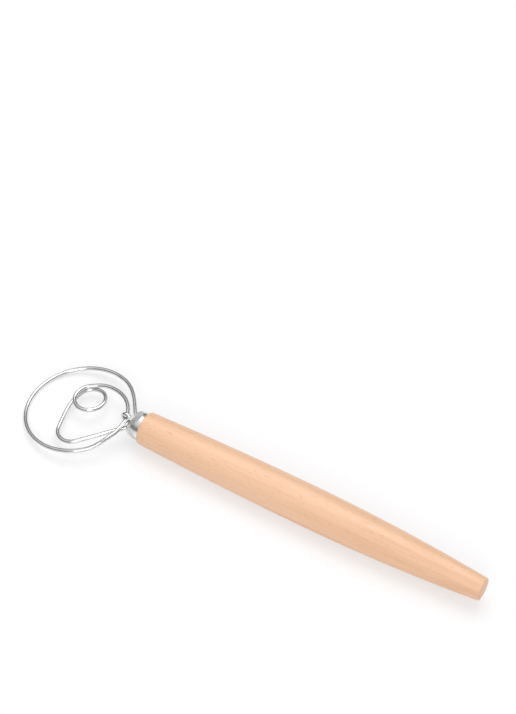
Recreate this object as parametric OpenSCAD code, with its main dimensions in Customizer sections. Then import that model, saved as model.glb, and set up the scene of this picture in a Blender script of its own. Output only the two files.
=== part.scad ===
// Dough whisk: a turned wooden handle, a pressed steel ferrule and a head bent from one wire.
// Millimetres. The handle lies along X with the wire head towards -X, and the whisk rests on
// z = 0 on the belly of its handle and the tip of its outer loop.

/* [Handle] */
// Length of the wood from its front shoulder to the butt
handle_len = 245; // [200:5:300]
// Largest radius, at the belly
belly_r = 13.3; // [12.5:0.1:16]
// Distance of the belly from the front shoulder
belly_at = 118; // [90:1:150]
// Radius of the barrel at the front shoulder
front_r = 11.3; // [11:0.1:12]
// Radius of the barrel at the butt
butt_r = 7.4; // [6:0.1:10]
// Rounding of the front shoulder
shoulder_round = 1.5; // [0.8:0.1:2]
// Rounding of the butt
butt_round = 1.5; // [0.5:0.1:3]

/* [Ferrule] */
// Outside radius of the steel cap at the wood
ferrule_r = 9.6; // [9.2:0.1:9.8]
// Thickness of its sheet
sheet = 0.7; // [0.5:0.1:0.9]
// How far the mouth stands ahead of the wood
ferrule_len = 10.8; // [9.5:0.1:14]
// Length of its round skirt
skirt_len = 2.2; // [1.5:0.1:3]
// How far the round cheeks draw in towards the mouth
cheek_draw = 1.9; // [1:0.1:2.5]
// Rounding of the front edge of the cheeks
cheek_round = 1.4; // [0.8:0.1:1.8]
// How far the mouth lies below the handle's axis
mouth_drop = 1.2; // [0.5:0.1:1.6]
// Length of the open mouth at the front
mouth_depth = 2.2; // [1.5:0.1:3]

/* [Wire] */
// Diameter of the whisk wire
wire_d = 2.8; // [2:0.1:3]
// Half of the distance between the two legs in the bore
leg_side = 3.6; // [3.4:0.1:4]
// Length of the legs inside the wood
leg_len = 24; // [15:1:40]
// Radius of the outer loop, to the middle of the wire
loop_r = 37; // [33:0.5:42]
// Middle of the outer loop, ahead of the mouth
loop_ahead = 38.4; // [37.5:0.1:44]
// Middle of the outer loop, to the side of the handle's axis
loop_side = -4.2; // [-6:0.1:-2]
// Radius of the small coil, to the middle of the wire
coil_r = 10.4; // [8.5:0.1:11.5]
// Middle of the coil, ahead of the mouth
coil_ahead = 36.2; // [34:0.1:38]
// Middle of the coil, to the side
coil_side = 5; // [3:0.1:6]
// Radius of the inner loop's far leg
far_leg_r = 26; // [24:0.5:27]
// Radius of the inner loop's tip
inner_tip_r = 10.8; // [9:0.1:12]
// Middle of the inner tip, ahead of the mouth
inner_tip_ahead = 32; // [30:0.1:34]
// Middle of the inner tip, to the side
inner_tip_side = -21; // [-22:0.1:-19]
// Space between strands that cross
pass_gap = 0.45; // [0.42:0.01:0.8]

/* [Hook] */
// Diameter of the retaining hook's wire
hook_d = 2.4; // [1.8:0.1:2.6]
// Radius of the hook's bend, to the middle of its wire
hook_r = 3.4; // [3.2:0.1:3.8]

/* [Fit] */
// Clearance between pieces that seat on each other
fit_gap = 0.1; // [0.05:0.01:0.15]
// Room between the wire and the ferrule's lips
lip_gap = 0.25; // [0.15:0.05:0.35]
// Least resin between a leg and the wall of the bore
resin_film = 0.5; // [0.3:0.1:0.8]

/* [Hidden] */
$fn = 72;

wire_r = wire_d / 2;
hook_wire_r = hook_d / 2;
bore_r = norm([leg_side, mouth_drop]) + wire_r + resin_film;
bore_len = leg_len + 2;
spigot_r = ferrule_r - sheet - fit_gap;
spigot_straight = skirt_len - 0.4;
spigot_chamfer = 2;
slot_half = wire_r + lip_gap;
lip_half = slot_half + sheet;
lip_x = -ferrule_len;
cheek_r = ferrule_r - cheek_draw;

// The head plane dips from the mouth, so that the loop's tip and the belly share one floor
leg_height = belly_r - mouth_drop;
dip = asin((leg_height - wire_r) / (loop_ahead + loop_r));
neck_run = 2;
neck_r = neck_run / tan(dip / 2);

// Heights of the strands above the plane of the outer loop
low = -0.4;
high = low + wire_d + pass_gap;

// The mouth's corners, where the two legs leave the ferrule
exit_a = [1, 6.8, 0];
exit_a_turn = 53;
exit_b = [1.5, -5.8, low];
exit_b_turn = 45;
splay_from = -8;
strand_ahead = wire_r + 0.9;

// Overall extents, which centre the whole whisk on the origin
front_x = lip_x - (loop_ahead + loop_r) * cos(dip) - wire_r;
mid_x = (front_x + handle_len) / 2;
mid_y = loop_side;

SIDES = 12;
ARC_STEP = 6;
WOOD = "burlywood";
STEEL = "silver";
WIRE = "lightgray";
RESIN = "khaki";

// Points on an arc in the XY plane, from angle a to angle b
function arc2(c, r, a, b, n) = [for (i = [0:n]) c + r * [cos(a + (b - a) * i / n), sin(a + (b - a) * i / n)]];

// Height of a long shallow crown: how far the curve has dropped at a run from its top
function crown_r(run, drop) = (run * run + drop * drop) / (2 * drop);
function crown(run, r) = r - sqrt(r * r - run * run);

front_crown = crown_r(belly_at, belly_r - front_r);
rear_crown = crown_r(handle_len - belly_at, belly_r - butt_r);
function barrel(x) = belly_r - crown(abs(x - belly_at), x < belly_at ? front_crown : rear_crown);

// Half section of the wood as [radius, distance from the front shoulder]
handle_section = concat(
    [[0, -spigot_straight - spigot_chamfer], [spigot_r - spigot_chamfer, -spigot_straight - spigot_chamfer],
     [spigot_r, -spigot_straight], [spigot_r, 0]],
    arc2([barrel(shoulder_round) - shoulder_round, shoulder_round], shoulder_round, -90, 0, 5),
    [for (i = [1:11]) [barrel(shoulder_round + (belly_at - shoulder_round) * i / 12),
                       shoulder_round + (belly_at - shoulder_round) * i / 12]],
    [for (i = [0:15]) [barrel(belly_at + (handle_len - butt_round - belly_at) * i / 16),
                       belly_at + (handle_len - butt_round - belly_at) * i / 16]],
    arc2([barrel(handle_len - butt_round) - butt_round, handle_len - butt_round], butt_round, 0, 90, 5),
    [[0, handle_len]]
);

// Half section of the cap's round form, drawn in by an inset, as [radius, distance from the shoulder]
cheek_run = ferrule_len - skirt_len - cheek_round;
cheek_crown = crown_r(cheek_run, cheek_draw);
function cheek(x) = ferrule_r - crown(max(x - skirt_len, 0), cheek_crown);
function cap_section(inset, back) = concat(
    [[0, back], [ferrule_r - inset, back]],
    [for (i = [0:6]) [cheek(skirt_len + cheek_run * i / 6) - inset, -skirt_len - cheek_run * i / 6]],
    arc2([cheek_r - cheek_round, -ferrule_len + cheek_round], cheek_round - inset, 0, -90, 4),
    [[0, -ferrule_len + inset]]
);

// Side view of the pressed duckbill, with both slopes moved in by an inset
bill_top = lip_half - mouth_drop;
bill_bottom = lip_half + mouth_drop;
bill_run = ferrule_len - skirt_len;
function slope_lift(end) = 1 / cos(atan((ferrule_r - end) / bill_run));
function bill_section(inset, back) = [
    [back, ferrule_r + 1], [-skirt_len, ferrule_r + 1], [-skirt_len, ferrule_r - inset * slope_lift(bill_top)],
    [lip_x, bill_top - inset * slope_lift(bill_top)], [lip_x - 1, bill_top - inset * slope_lift(bill_top)],
    [lip_x - 1, -bill_bottom + inset * slope_lift(bill_bottom)],
    [lip_x, -bill_bottom + inset * slope_lift(bill_bottom)],
    [-skirt_len, -ferrule_r + inset * slope_lift(bill_bottom)],
    [-skirt_len, -ferrule_r - 1], [back, -ferrule_r - 1]
];

// A point [ahead of the mouth, to the side, above the plane] of the wire, in the handle's frame
function place(p) =
    p[0] <= -neck_run ? [lip_x - p[0], p[1], p[2] - mouth_drop]
    : p[0] >= neck_run ? [lip_x - p[0] * cos(dip) - p[2] * sin(dip), p[1],
                          p[2] * cos(dip) - p[0] * sin(dip) - mouth_drop]
    : let(a = dip * (p[0] + neck_run) / (2 * neck_run))
        [lip_x + neck_run - (neck_r + p[2]) * sin(a), p[1], (neck_r + p[2]) * cos(a) - neck_r - mouth_drop];

// Smooth step from 0 to 1
function ease(t) = (1 - cos(180 * t)) / 2;

// Arc of the wire round a middle c, from angle a to b, whose height eases from h0 to h1
function bend(c, r, a, b, h0, h1, step = ARC_STEP) =
    let(n = max(1, round(abs(b - a) / step)))
    [for (i = [0:n]) let(t = a + (b - a) * i / n) [c[0] + r * cos(t), c[1] + r * sin(t), h0 + (h1 - h0) * ease(i / n)]];
function on(c, r, a, h) = [c[0] + r * cos(a), c[1] + r * sin(a), h];
function along(a) = [sin(a), -cos(a), 0];

// Free stretch between two points with given directions, without its two ends
function sweep_to(p, dp, q, dq, n, pull = 0.36) =
    let(k = norm(q - p) * pull, a = p + dp * k, b = q - dq * k)
    [for (i = [1:n - 1]) let(t = i / n, s = 1 - t)
        s * s * s * p + 3 * s * s * t * a + 3 * s * t * t * b + t * t * t * q];

loop_c = [loop_ahead, loop_side];
coil_c = [coil_ahead, coil_side];
tip_c = [inner_tip_ahead, inner_tip_side];
far_c = [strand_ahead + far_leg_r - 0.2, -7.4];
loop_in = 110;
loop_climb = -130;
loop_out = -160;
far_in = 155;
far_out = 82;
coil_in = 60;
coil_out = -345;
tip_in = -15;
tip_out = -135;
inside = lip_x - leg_len;

dir_a = [cos(exit_a_turn), sin(exit_a_turn), 0];
dir_b = [-cos(exit_b_turn), sin(exit_b_turn), 0];
cross_in = [strand_ahead, -6.5, high];
cross_out = [strand_ahead, 0, high];

// The whole wire from one end in the wood to the other
wire_route = concat(
    [[inside, leg_side, 0], [splay_from, leg_side, 0]],
    sweep_to([splay_from, leg_side, 0], [1, 0, 0], exit_a, dir_a, 8),
    [exit_a],
    sweep_to(exit_a, dir_a, on(loop_c, loop_r, loop_in, 0), along(loop_in), 10),
    bend(loop_c, loop_r, loop_in, loop_climb, 0, 0),
    [for (i = [1:5]) on(loop_c, loop_r, loop_climb + (loop_out - loop_climb) * i / 5, high * ease(i / 5))],
    sweep_to(on(loop_c, loop_r, loop_out, high), along(loop_out), cross_in, [0, 1, 0], 5),
    [cross_in, (cross_in + cross_out) / 2, cross_out],
    sweep_to(cross_out, [0, 1, 0], on(far_c, far_leg_r, far_in, high), along(far_in), 4),
    bend(far_c, far_leg_r, far_in, far_out, high, high),
    sweep_to(on(far_c, far_leg_r, far_out, high), along(far_out), on(coil_c, coil_r, coil_in, high), along(coil_in), 5),
    bend(coil_c, coil_r, coil_in, 0, high, high, 10),
    [for (i = [1:30]) on(coil_c, coil_r, -10 * i, high + (low - high) * ease(i / 30))],
    [for (a = [-310:-10:coil_out + 5]) on(coil_c, coil_r, a, low)],
    [on(coil_c, coil_r, coil_out, low)],
    sweep_to(on(coil_c, coil_r, coil_out, low), along(coil_out), on(tip_c, inner_tip_r, tip_in, low), along(tip_in), 8),
    bend(tip_c, inner_tip_r, tip_in, tip_out, low, low, 10),
    sweep_to(on(tip_c, inner_tip_r, tip_out, low), along(tip_out), exit_b, dir_b, 6),
    [exit_b],
    sweep_to(exit_b, dir_b, [splay_from, -leg_side, 0], [-1, 0, 0], 8),
    [[splay_from, -leg_side, 0], [inside, -leg_side, 0]]
);

hook_c = [strand_ahead + 0.2, hook_r - 0.1];
hook_tail = [-0.6, 5.2];
hook_route = concat(
    [[inside + 4, 0, 0], [splay_from, 0, 0]],
    sweep_to([splay_from, 0, 0], [1, 0, 0], [hook_c[0], 0, hook_c[1] - hook_r], [1, 0, 0], 5),
    [for (a = [-90:12:90]) [hook_c[0] + hook_r * cos(a), 0, hook_c[1] + hook_r * sin(a)]],
    sweep_to([hook_c[0], 0, hook_c[1] + hook_r], [-1, 0, 0], [hook_tail[0], 0, hook_tail[1]], [-0.89, 0, -0.45], 4),
    [[hook_tail[0], 0, hook_tail[1]]]
);

function unit(v) = v / norm(v);
function heading(p, i) = unit(p[min(i + 1, len(p) - 1)] - p[max(i - 1, 0)]);

// Round wire of radius r along the points p; up is a direction that the route never takes
module wire(p, r, up) {
    n = len(p);
    rings = [for (i = [0:n - 1])
        let(t = heading(p, i), side = unit(cross(t, up)), top = cross(side, t))
        for (k = [0:SIDES - 1]) p[i] + r * (cos(360 * k / SIDES) * side + sin(360 * k / SIDES) * top)];
    walls = [for (i = [0:n - 2]) for (k = [0:SIDES - 1])
        let(a = i * SIDES + k, b = i * SIDES + (k + 1) % SIDES)
        for (f = [[a, b, b + SIDES], [a, b + SIDES, a + SIDES]]) f];
    first = [for (k = [SIDES - 1:-1:0]) k];
    last = [for (k = [0:SIDES - 1]) (n - 1) * SIDES + k];
    polyhedron(rings, concat(walls, [first], [last]), convexity = 10);
}

// Turns a section that stands on the Z axis to lie along the handle
module lay() rotate([0, 90, 0]) children();

module placed() translate([-mid_x, -mid_y, belly_r]) children();

module handle() {
    color(WOOD) placed() difference() {
        lay() rotate_extrude() polygon(handle_section);
        translate([-ferrule_len, 0, 0]) lay() cylinder(h = ferrule_len + bore_len, r = bore_r);
    }
}

module cap_form(inset, back) {
    intersection() {
        lay() rotate_extrude() polygon(cap_section(inset, back));
        rotate([90, 0, 0]) linear_extrude(4 * ferrule_r, center = true) polygon(bill_section(inset, back + 1));
    }
}

module ferrule() {
    color(STEEL) placed() difference() {
        cap_form(0, -fit_gap);
        cap_form(sheet, 1);
        translate([lip_x - 1, -2 * ferrule_r, -mouth_drop - slot_half])
            cube([mouth_depth + 1, 4 * ferrule_r, 2 * slot_half]);
    }
}

module whisk_wire() {
    color(WIRE) placed() wire([for (p = wire_route) place(p)], wire_r, [0, 0, 1]);
}

module retaining_hook() {
    color(WIRE) placed() wire([for (p = hook_route) place(p)], hook_wire_r, [0, 1, 0]);
}

module setting_resin() {
    color(RESIN) placed() difference() {
        translate([-spigot_straight, 0, 0]) lay()
            cylinder(h = spigot_straight + bore_len, r = bore_r - fit_gap);
        for (leg = [[leg_side, wire_r, leg_len], [-leg_side, wire_r, leg_len], [0, hook_wire_r, leg_len - 4]])
            translate([-ferrule_len, leg[0], -mouth_drop]) lay()
                cylinder(h = ferrule_len + leg[2] + fit_gap, r = leg[1] + fit_gap);
    }
}

handle();
ferrule();
whisk_wire();
retaining_hook();
setting_resin();
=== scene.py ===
"""Dough whisk: the finish of its beech handle, pressed ferrule and bent wire head, in a pale studio."""

from __future__ import annotations

import logging
import math
from dataclasses import dataclass, field
from enum import Enum
from typing import Any

import bmesh
import bpy
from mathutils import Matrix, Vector

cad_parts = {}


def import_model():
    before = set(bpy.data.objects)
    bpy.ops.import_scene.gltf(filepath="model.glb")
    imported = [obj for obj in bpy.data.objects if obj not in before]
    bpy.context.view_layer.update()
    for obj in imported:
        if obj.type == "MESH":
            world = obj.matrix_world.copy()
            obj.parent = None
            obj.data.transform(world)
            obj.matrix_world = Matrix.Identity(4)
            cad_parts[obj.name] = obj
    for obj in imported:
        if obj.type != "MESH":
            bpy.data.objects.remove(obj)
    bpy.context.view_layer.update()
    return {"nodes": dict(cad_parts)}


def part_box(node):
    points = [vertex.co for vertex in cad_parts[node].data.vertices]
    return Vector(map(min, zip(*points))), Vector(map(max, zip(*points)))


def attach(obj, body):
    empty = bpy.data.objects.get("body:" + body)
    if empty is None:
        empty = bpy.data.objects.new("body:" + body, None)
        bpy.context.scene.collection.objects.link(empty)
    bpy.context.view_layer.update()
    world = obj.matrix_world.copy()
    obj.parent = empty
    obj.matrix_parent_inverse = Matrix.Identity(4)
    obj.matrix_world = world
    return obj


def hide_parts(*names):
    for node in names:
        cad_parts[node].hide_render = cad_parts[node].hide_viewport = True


LOG = logging.getLogger("dough_whisk")
MM = 0.001
ROOT = "root"
WHITE = (1.0, 1.0, 1.0)
MIDDLE = 0.5
Colour = tuple[float, float, float]
Triple = tuple[float, float, float]
Span = tuple[float, float]


class Output(Enum):
    """The node that a finished shader goes to."""

    MATERIAL = "ShaderNodeOutputMaterial"
    WORLD = "ShaderNodeOutputWorld"


class Sock:
    """A shader socket that works in Python expressions."""

    def __init__(self, kit: "NodeKit", socket: Any) -> None:
        """Wraps a socket of a node tree.

        Args:
            kit: The builder that owns the tree.
            socket: The output socket.
        """
        self.kit = kit
        self.socket = socket

    def _math(self, operation: str, *values: Any) -> "Sock":
        """Adds a Math node.

        Args:
            operation: The operation's name.
            values: Its inputs, sockets or numbers.

        Returns:
            The node's output.
        """
        return self.kit.node("ShaderNodeMath", {"operation": operation}, dict(enumerate(values)))

    def __add__(self, other: Any) -> "Sock":
        """Sum of two values."""
        return self._math("ADD", self, other)

    def __radd__(self, other: Any) -> "Sock":
        """Sum with the number first."""
        return self._math("ADD", other, self)

    def __sub__(self, other: Any) -> "Sock":
        """Difference of two values."""
        return self._math("SUBTRACT", self, other)

    def __rsub__(self, other: Any) -> "Sock":
        """Difference with the number first."""
        return self._math("SUBTRACT", other, self)

    def __mul__(self, other: Any) -> "Sock":
        """Product of two values."""
        return self._math("MULTIPLY", self, other)

    def __rmul__(self, other: Any) -> "Sock":
        """Product with the number first."""
        return self._math("MULTIPLY", other, self)

    def ramp(self, span: Span) -> "Sock":
        """Eases from 0 at the span's start to 1 at its end.

        Args:
            span: The values that give 0 and 1.

        Returns:
            The eased value.
        """
        settings = {"interpolation_type": "SMOOTHSTEP"}
        inputs = {"Value": self, "From Min": span[0], "From Max": span[1]}
        return self.kit.node("ShaderNodeMapRange", settings, inputs)


class NodeKit:
    """Builds one node tree."""

    def __init__(self, owner: Any) -> None:
        """Starts on an empty tree.

        Args:
            owner: The material or world that gets the tree.
        """
        owner.use_nodes = True
        self.tree = owner.node_tree
        self.tree.nodes.clear()

    def _place(self, kind: str, settings: dict[str, Any], inputs: dict[Any, Any]) -> Any:
        """Adds a node, sets it up and links it.

        Args:
            kind: The node's type.
            settings: Properties that are set first.
            inputs: Values or links by socket name or number.

        Returns:
            The node.
        """
        made = self.tree.nodes.new(kind)
        for name, value in settings.items():
            setattr(made, name, value)
        for key, value in inputs.items():
            if isinstance(value, Sock):
                self.tree.links.new(value.socket, made.inputs[key])
            else:
                made.inputs[key].default_value = value
        return made

    def node(self, kind: str, settings: dict[str, Any], inputs: dict[Any, Any], out: Any = 0) -> Sock:
        """Adds a node that others read.

        Args:
            kind: The node's type.
            settings: Properties that are set first.
            inputs: Values or links by socket name or number.
            out: Which output to give back.

        Returns:
            The output socket.
        """
        return Sock(self, self._place(kind, settings, inputs).outputs[out])

    def finish(self, shader: Sock, output: Output) -> None:
        """Links a shader to the output.

        Args:
            shader: The shader socket.
            output: Which output node it gets.
        """
        self._place(output.value, {}, {"Surface": shader})

    def noise(self, scale: Triple, detail: float = 3.0, rough: float = 0.55) -> Sock:
        """Noise on stretched object coordinates.

        Args:
            scale: Features per metre along each axis.
            detail: Octaves.
            rough: Weight of the fine octaves.

        Returns:
            The noise value.
        """
        coords = self.node("ShaderNodeTexCoord", {}, {}, "Object")
        stretched = self.node("ShaderNodeMapping", {}, {"Vector": coords, "Scale": scale})
        inputs = {"Vector": stretched, "Scale": 1.0, "Detail": detail, "Roughness": rough}
        return self.node("ShaderNodeTexNoise", {}, inputs)

    def mix(self, factor: Sock, first: Any, second: Any) -> Sock:
        """Mixes two colours.

        Args:
            factor: Share of the second.
            first: A colour or a socket.
            second: A colour or a socket.

        Returns:
            The mixed colour.
        """
        factor_socket, first_colour, second_colour, colour_out = 0, 6, 7, 2
        settings = {"data_type": "RGBA", "blend_type": "MIX"}
        inputs = {factor_socket: factor, first_colour: first, second_colour: second}
        return self.node("ShaderNodeMix", settings, inputs, colour_out)

    def bump(self, strength: float, distance: float, height: Sock) -> Sock:
        """Shading relief.

        Args:
            strength: Share of the relief that shows.
            distance: Its depth in metres.
            height: The relief.

        Returns:
            The bumped normal.
        """
        return self.node("ShaderNodeBump", {}, {"Strength": strength, "Distance": distance, "Height": height})

    def is_camera_ray(self) -> Sock:
        """1 where the camera looks straight at the surface."""
        return self.node("ShaderNodeLightPath", {}, {}, "Is Camera Ray")


def rgba(colour: Colour) -> tuple[float, float, float, float]:
    """A colour with full alpha."""
    return (*colour, 1.0)


@dataclass(frozen=True)
class Beech:
    """Oiled beech with fine straight grain, short ray flecks and a soft sheen.

    Band, grain, fibre and fleck sizes are in features per metre, along the handle first.
    """

    pale: Colour = (0.885, 0.565, 0.365)
    warm: Colour = (0.80, 0.475, 0.285)
    fleck: Colour = (0.56, 0.27, 0.13)
    bands_size: Triple = (5.0, 60.0, 60.0)
    grain_size: Triple = (14.0, 520.0, 520.0)
    fibre_size: Triple = (60.0, 2600.0, 2600.0)
    fleck_size: Triple = (240.0, 1300.0, 1300.0)
    warm_share: Span = (0.32, 0.70)
    fleck_share: Span = (0.62, 0.74)
    fleck_strength: float = 0.38
    grain_height: float = 0.4
    fibre_height: float = 0.35
    fleck_depth: float = 0.8
    roughness: float = 0.42
    roughness_spread: float = 0.18
    relief: float = 0.12 * MM
    relief_share: float = 0.22
    oil: float = 0.12
    oil_roughness: float = 0.32

    def material(self) -> bpy.types.Material:
        """Makes the wood.

        Returns:
            The material.
        """
        made = bpy.data.materials.new("beech")
        kit = NodeKit(made)
        bands = kit.noise(self.bands_size, 2.0)
        grain = kit.noise(self.grain_size, 4.0, 0.6)
        fibre = kit.noise(self.fibre_size, 2.0)
        rays = kit.noise(self.fleck_size, 1.0)
        tone = (bands * MIDDLE + grain * MIDDLE).ramp(self.warm_share)
        flecks = rays.ramp(self.fleck_share) * self.fleck_strength
        wood = kit.mix(tone, rgba(self.pale), rgba(self.warm))
        height = grain * self.grain_height + fibre * self.fibre_height - flecks * self.fleck_depth
        kit.finish(kit.node("ShaderNodeBsdfPrincipled", {}, {
            "Base Color": kit.mix(flecks, wood, rgba(self.fleck)),
            "Roughness": self.roughness + (fibre - MIDDLE) * self.roughness_spread,
            "Normal": kit.bump(self.relief_share, self.relief, height),
            "Coat Weight": self.oil,
            "Coat Roughness": self.oil_roughness,
        }), Output.MATERIAL)
        return made


@dataclass(frozen=True)
class Steel:
    """Polished steel with faint smears and drawing marks.

    Smear and mark sizes are in features per metre, along the whisk first.
    """

    name: str
    tint: Colour
    roughness: float
    mark_size: Triple
    smear_size: Triple = (120.0, 120.0, 120.0)
    smear_share: Span = (0.4, 0.7)
    smear_shade: float = 0.86
    smear_spread: float = 0.08
    mark_spread: float = 0.06
    relief: float = 0.01 * MM
    relief_share: float = 0.04

    def material(self) -> bpy.types.Material:
        """Makes the metal.

        Returns:
            The material.
        """
        made = bpy.data.materials.new(self.name)
        kit = NodeKit(made)
        smears = kit.noise(self.smear_size)
        marks = kit.noise(self.mark_size, 3.0, 0.65)
        dull = tuple(self.smear_shade * value for value in self.tint)
        rough = self.roughness + (smears - MIDDLE) * self.smear_spread + (marks - MIDDLE) * self.mark_spread
        kit.finish(kit.node("ShaderNodeBsdfPrincipled", {}, {
            "Base Color": kit.mix(smears.ramp(self.smear_share), rgba(self.tint), rgba(dull)),
            "Metallic": 1.0,
            "Roughness": rough,
            "Normal": kit.bump(self.relief_share, self.relief, marks),
        }), Output.MATERIAL)
        return made


@dataclass(frozen=True)
class Resin:
    """Cast adhesive round the wire ends."""

    tint: Colour = (0.62, 0.50, 0.28)
    cloud: Colour = (0.50, 0.38, 0.20)
    cloud_size: Triple = (260.0, 260.0, 260.0)
    cloud_share: Span = (0.35, 0.7)
    roughness: float = 0.45

    def material(self) -> bpy.types.Material:
        """Makes the resin.

        Returns:
            The material.
        """
        made = bpy.data.materials.new("resin")
        kit = NodeKit(made)
        clouds = kit.noise(self.cloud_size).ramp(self.cloud_share)
        colour = kit.mix(clouds, rgba(self.tint), rgba(self.cloud))
        inputs = {"Base Color": colour, "Roughness": self.roughness}
        kit.finish(kit.node("ShaderNodeBsdfPrincipled", {}, inputs), Output.MATERIAL)
        return made


def as_mesh(shape: bmesh.types.BMesh, name: str) -> bpy.types.Mesh:
    """Turns a finished shape into a mesh and frees it.

    Args:
        shape: The shape.
        name: Name for the mesh.

    Returns:
        The mesh.
    """
    mesh = bpy.data.meshes.new(name)
    shape.to_mesh(mesh)
    shape.free()
    return mesh


def in_scene(name: str, data: Any) -> bpy.types.Object:
    """Puts a mesh, lamp or camera in the scene.

    Args:
        name: The object's name.
        data: What it shows.

    Returns:
        The object.
    """
    made = bpy.data.objects.new(name, data)
    bpy.context.scene.collection.objects.link(made)
    return made


def new_piece(mesh: bpy.types.Mesh, material: bpy.types.Material) -> bpy.types.Object:
    """Puts a smoothly shaded mesh in the scene as a piece of the whisk.

    Args:
        mesh: The piece's mesh, in place and with the piece's name.
        material: Its finish.

    Returns:
        The object.
    """
    piece = in_scene(mesh.name, mesh)
    mesh.materials.clear()
    mesh.materials.append(material)
    for face in mesh.polygons:
        face.use_smooth = True
    return piece


def merged_copy(node: bpy.types.Object) -> bmesh.types.BMesh:
    """Copies a construction node with its loose triangles merged.

    Args:
        node: The node's object.

    Returns:
        The merged shape.
    """
    shape = bmesh.new()
    shape.from_mesh(node.data)
    bmesh.ops.remove_doubles(shape, verts=shape.verts, dist=0.002 * MM)
    return shape


@dataclass
class Handle:
    """The turned beech handle, made again as a smooth turned shape."""

    finish: Beech = field(default_factory=Beech)
    length: float = 245 * MM
    belly_r: float = 13.3 * MM
    belly_at: float = 118 * MM
    front_r: float = 11.3 * MM
    butt_r: float = 7.4 * MM
    edge: float = 1.5 * MM
    spigot_r: float = 8.8 * MM
    spigot_len: float = 3.8 * MM
    spigot_chamfer: float = 2.0 * MM
    bore_r: float = 5.69 * MM
    bore_len: float = 26 * MM
    rim_steps: int = 8
    barrel_steps: int = 60
    turn_steps: int = 96
    crease_angle: float = math.radians(35)

    def barrel(self, at: float) -> float:
        """Radius of the barrel.

        Args:
            at: Distance from the front shoulder.

        Returns:
            The radius there.
        """
        front = at < self.belly_at
        run = self.belly_at if front else self.length - self.belly_at
        drop = self.belly_r - (self.front_r if front else self.butt_r)
        crown = (run * run + drop * drop) / (2 * drop)
        away = abs(at - self.belly_at)
        return self.belly_r - crown + math.sqrt(crown * crown - away * away)

    def rim(self, angle: float, flat_r: float) -> tuple[float, float]:
        """A point on a rounded rim.

        Args:
            angle: 0 at the barrel, a quarter turn at the flat end.
            flat_r: Radius of the flat end.

        Returns:
            Its distance in from the end, and its radius.
        """
        return self.edge * (1 - math.sin(angle)), flat_r + self.edge * math.cos(angle)

    def section(self) -> list[tuple[float, float]]:
        """The half section, from the bore's bottom round to the butt.

        Returns:
            Points as (distance from the shoulder, radius).
        """
        front_flat = self.barrel(self.edge) - self.edge
        butt_flat = self.barrel(self.length - self.edge) - self.edge
        quarter = [math.radians(90 * i / self.rim_steps) for i in range(self.rim_steps + 1)]
        span = self.length - 2 * self.edge
        stations = [self.edge + span * i / self.barrel_steps for i in range(1, self.barrel_steps)]
        butt_rim = [self.rim(angle, butt_flat) for angle in quarter]
        return [
            (self.bore_len, 0.0),
            (self.bore_len, self.bore_r),
            (-self.spigot_len, self.bore_r),
            (-self.spigot_len, self.spigot_r - self.spigot_chamfer),
            (-self.spigot_len + self.spigot_chamfer, self.spigot_r),
            (0.0, self.spigot_r),
            *[self.rim(angle, front_flat) for angle in reversed(quarter)],
            *[(at, self.barrel(at)) for at in stations],
            *[(self.length - inset, radius) for inset, radius in butt_rim],
            (self.length, 0.0),
        ]

    def build(self) -> bpy.types.Object:
        """Turns the section round the handle's axis.

        Returns:
            The handle.
        """
        low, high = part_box("handle")
        axis = Vector((high.x - self.length, (low.y + high.y) / 2, (low.z + high.z) / 2))
        shape = bmesh.new()
        verts = [shape.verts.new(axis + Vector((at, 0.0, radius))) for at, radius in self.section()]
        edges = [shape.edges.new(pair) for pair in zip(verts, verts[1:])]
        bmesh.ops.spin(
            shape, geom=verts + edges, cent=axis, axis=(1, 0, 0), angle=math.tau, steps=self.turn_steps,
            use_merge=True)
        bmesh.ops.remove_doubles(shape, verts=shape.verts, dist=0.001 * MM)
        bmesh.ops.recalc_face_normals(shape, faces=shape.faces)
        piece = new_piece(as_mesh(shape, "turned_handle"), self.finish.material())
        piece.data.set_sharp_from_angle(angle=self.crease_angle)
        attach(piece, ROOT)
        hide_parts("handle")
        return piece


@dataclass
class Ferrule:
    """The pressed steel cap, with its creases eased."""

    node: bpy.types.Object
    finish: Steel = Steel("ferrule_steel", (0.79, 0.80, 0.78), 0.29, (200.0, 3000.0, 3000.0))
    crease: float = 0.28 * MM
    crease_steps: int = 3
    crease_angle: float = math.radians(28)
    flat_angle: float = math.radians(1)

    def build(self) -> bpy.types.Object:
        """Merges a copy of the cap and bevels its creases.

        Returns:
            The ferrule.
        """
        shape = merged_copy(self.node)
        bmesh.ops.dissolve_limit(
            shape, angle_limit=self.flat_angle, verts=shape.verts, edges=shape.edges)
        piece = new_piece(as_mesh(shape, "pressed_ferrule"), self.finish.material())
        bevel = piece.modifiers.new("eased creases", "BEVEL")
        bevel.width = self.crease
        bevel.segments = self.crease_steps
        bevel.limit_method = "ANGLE"
        bevel.angle_limit = self.crease_angle
        bevel.use_clamp_overlap = True
        normals = piece.modifiers.new("even shading", "WEIGHTED_NORMAL")
        normals.keep_sharp = True
        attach(piece, ROOT)
        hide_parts("ferrule")
        return piece


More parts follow.
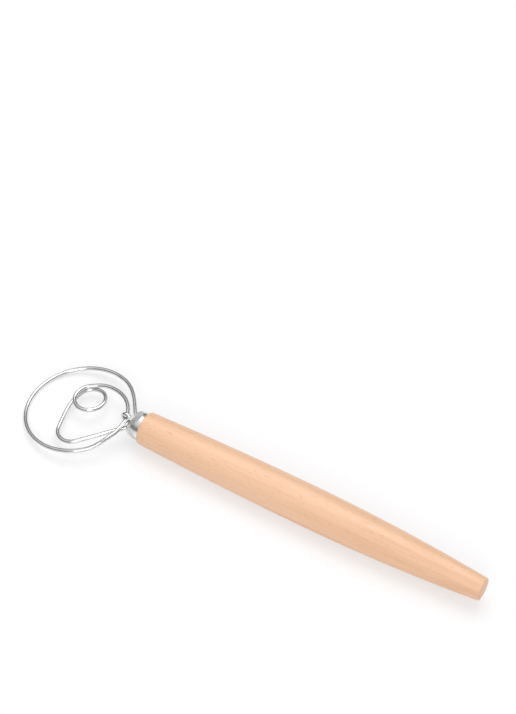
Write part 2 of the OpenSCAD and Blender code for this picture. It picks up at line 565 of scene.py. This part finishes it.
@dataclass
class RoundWire:
    """A bent wire whose flat-sided tube is smoothed to a round one.

    The swell is what the smoothing takes off the wire's radius.
    """

    node: bpy.types.Object
    node_name: str
    name: str
    swell: float
    finish: bpy.types.Material
    smooth_levels: int = 2
    pair_angle: float = math.radians(40)
    pair_shape: float = math.radians(60)

    def build(self) -> bpy.types.Object:
        """Smooths a merged copy of the wire and gives back what smoothing takes off.

        Returns:
            The wire.
        """
        shape = merged_copy(self.node)
        bmesh.ops.join_triangles(
            shape, faces=shape.faces, angle_face_threshold=self.pair_angle,
            angle_shape_threshold=self.pair_shape)
        piece = new_piece(as_mesh(shape, self.name), self.finish)
        smooth = piece.modifiers.new("round wire", "SUBSURF")
        smooth.levels = self.smooth_levels
        smooth.render_levels = self.smooth_levels
        grow = piece.modifiers.new("full diameter", "DISPLACE")
        grow.strength = self.swell
        grow.mid_level = 0.0
        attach(piece, ROOT)
        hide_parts(self.node_name)
        return piece


@dataclass(frozen=True)
class SoftBox:
    """A square lamp that faces the whisk."""

    name: str
    at: Triple
    size: float
    power: float

    def build(self) -> None:
        """Hangs the lamp."""
        light = bpy.data.lights.new(self.name, "AREA")
        light.shape = "RECTANGLE"
        light.size = self.size
        light.size_y = self.size
        light.energy = self.power
        made = in_scene(self.name, light)
        made.location = self.at
        made.rotation_euler = Vector(self.at).to_track_quat("Z", "Y").to_euler()


@dataclass
class Studio:
    """Pale floor, soft lights and the camera."""

    target: Vector = field(default_factory=lambda: Vector((-51.5 * MM, 103.4 * MM, 0.0)))
    azimuth: float = 30.455
    elevation: float = 50.0
    distance: float = 1167.8 * MM
    focal_px: float = 1700.0
    image_height_px: int = 714
    sensor_mm: float = 36.0
    nearest: float = 10 * MM
    floor_half: float = 4.0
    floor_white: Colour = (0.94, 0.94, 0.945)
    floor_glow: float = 0.55
    horizon: Colour = (0.11, 0.11, 0.115)
    zenith: Colour = (0.80, 0.80, 0.81)
    dome_rise: Span = (0.25, 0.85)
    lamps: tuple[SoftBox, ...] = (
        SoftBox("overhead_box", (-0.2, 0.6, 1.5), 1.2, 11.5),
        SoftBox("side_box", (0.5, -1.3, 1.0), 0.8, 9.3),
    )

    def camera(self) -> None:
        """Places the camera at the photograph's viewing angle."""
        turn, rise = math.radians(self.azimuth), math.radians(self.elevation)
        back = Vector((math.sin(turn) * math.cos(rise), -math.cos(turn) * math.cos(rise), math.sin(rise)))
        lens = bpy.data.cameras.new("camera")
        lens.sensor_fit = "VERTICAL"
        lens.sensor_height = self.sensor_mm
        lens.lens = self.sensor_mm * self.focal_px / self.image_height_px
        lens.clip_start = self.nearest
        made = in_scene("camera", lens)
        made.location = self.target + back * self.distance
        made.rotation_euler = back.to_track_quat("Z", "Y").to_euler()
        bpy.context.scene.camera = made

    def floor(self) -> None:
        """Lays the pale floor, which keeps the whisk's soft shadow."""
        shape = bmesh.new()
        bmesh.ops.create_grid(shape, x_segments=2, y_segments=2, size=self.floor_half)
        made = in_scene("floor", as_mesh(shape, "floor"))
        material = bpy.data.materials.new("floor")
        kit = NodeKit(material)
        white = kit.node("ShaderNodeBsdfDiffuse", {}, {"Color": rgba(self.floor_white)})
        glow = kit.node("ShaderNodeEmission", {}, {"Color": rgba(WHITE), "Strength": 1.0})
        share = kit.is_camera_ray() * self.floor_glow
        kit.finish(kit.node("ShaderNodeMixShader", {}, {0: share, 1: white, 2: glow}), Output.MATERIAL)
        made.data.materials.append(material)

    def sky(self) -> None:
        """Sets a dome that is dark at the horizon in reflections, and white to the camera."""
        world = bpy.data.worlds.new("World")
        bpy.context.scene.world = world
        kit = NodeKit(world)
        coords = kit.node("ShaderNodeTexCoord", {}, {}, "Generated")
        height = kit.node("ShaderNodeSeparateXYZ", {}, {"Vector": coords}, "Z")
        dome = kit.mix(height.ramp(self.dome_rise), rgba(self.horizon), rgba(self.zenith))
        colour = kit.mix(kit.is_camera_ray(), dome, rgba(WHITE))
        kit.finish(kit.node("ShaderNodeBackground", {}, {"Color": colour, "Strength": 1.0}), Output.WORLD)

    def build(self) -> None:
        """Sets the whole studio up."""
        self.camera()
        self.floor()
        for lamp in self.lamps:
            lamp.build()
        self.sky()
        bpy.context.scene.view_settings.view_transform = "Standard"


def main() -> None:
    """Builds the studio and the whisk in order."""
    logging.basicConfig(level=logging.INFO, format="%(name)s: %(message)s")
    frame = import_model()
    nodes = frame["nodes"]
    Studio().build()
    wire_steel = Steel("wire_steel", (0.73, 0.73, 0.72), 0.19, (3000.0, 3000.0, 3000.0)).material()
    wire_swell, hook_swell = 0.062 * MM, 0.053 * MM
    parts: list[Handle | Ferrule | RoundWire] = [
        Handle(),
        Ferrule(nodes["ferrule"]),
        RoundWire(nodes["whisk_wire"], "whisk_wire", "round_whisk_wire", wire_swell, wire_steel),
        RoundWire(nodes["retaining_hook"], "retaining_hook", "round_hook", hook_swell, wire_steel),
    ]
    for part in parts:
        piece = part.build()
        LOG.info("%s: %d faces before modifiers", piece.name, len(piece.data.polygons))
    resin = nodes["setting_resin"]
    resin.data.materials.clear()
    resin.data.materials.append(Resin().material())
    LOG.info("setting_resin: construction solid with its resin finish")


if __name__ == "__main__":
    main()
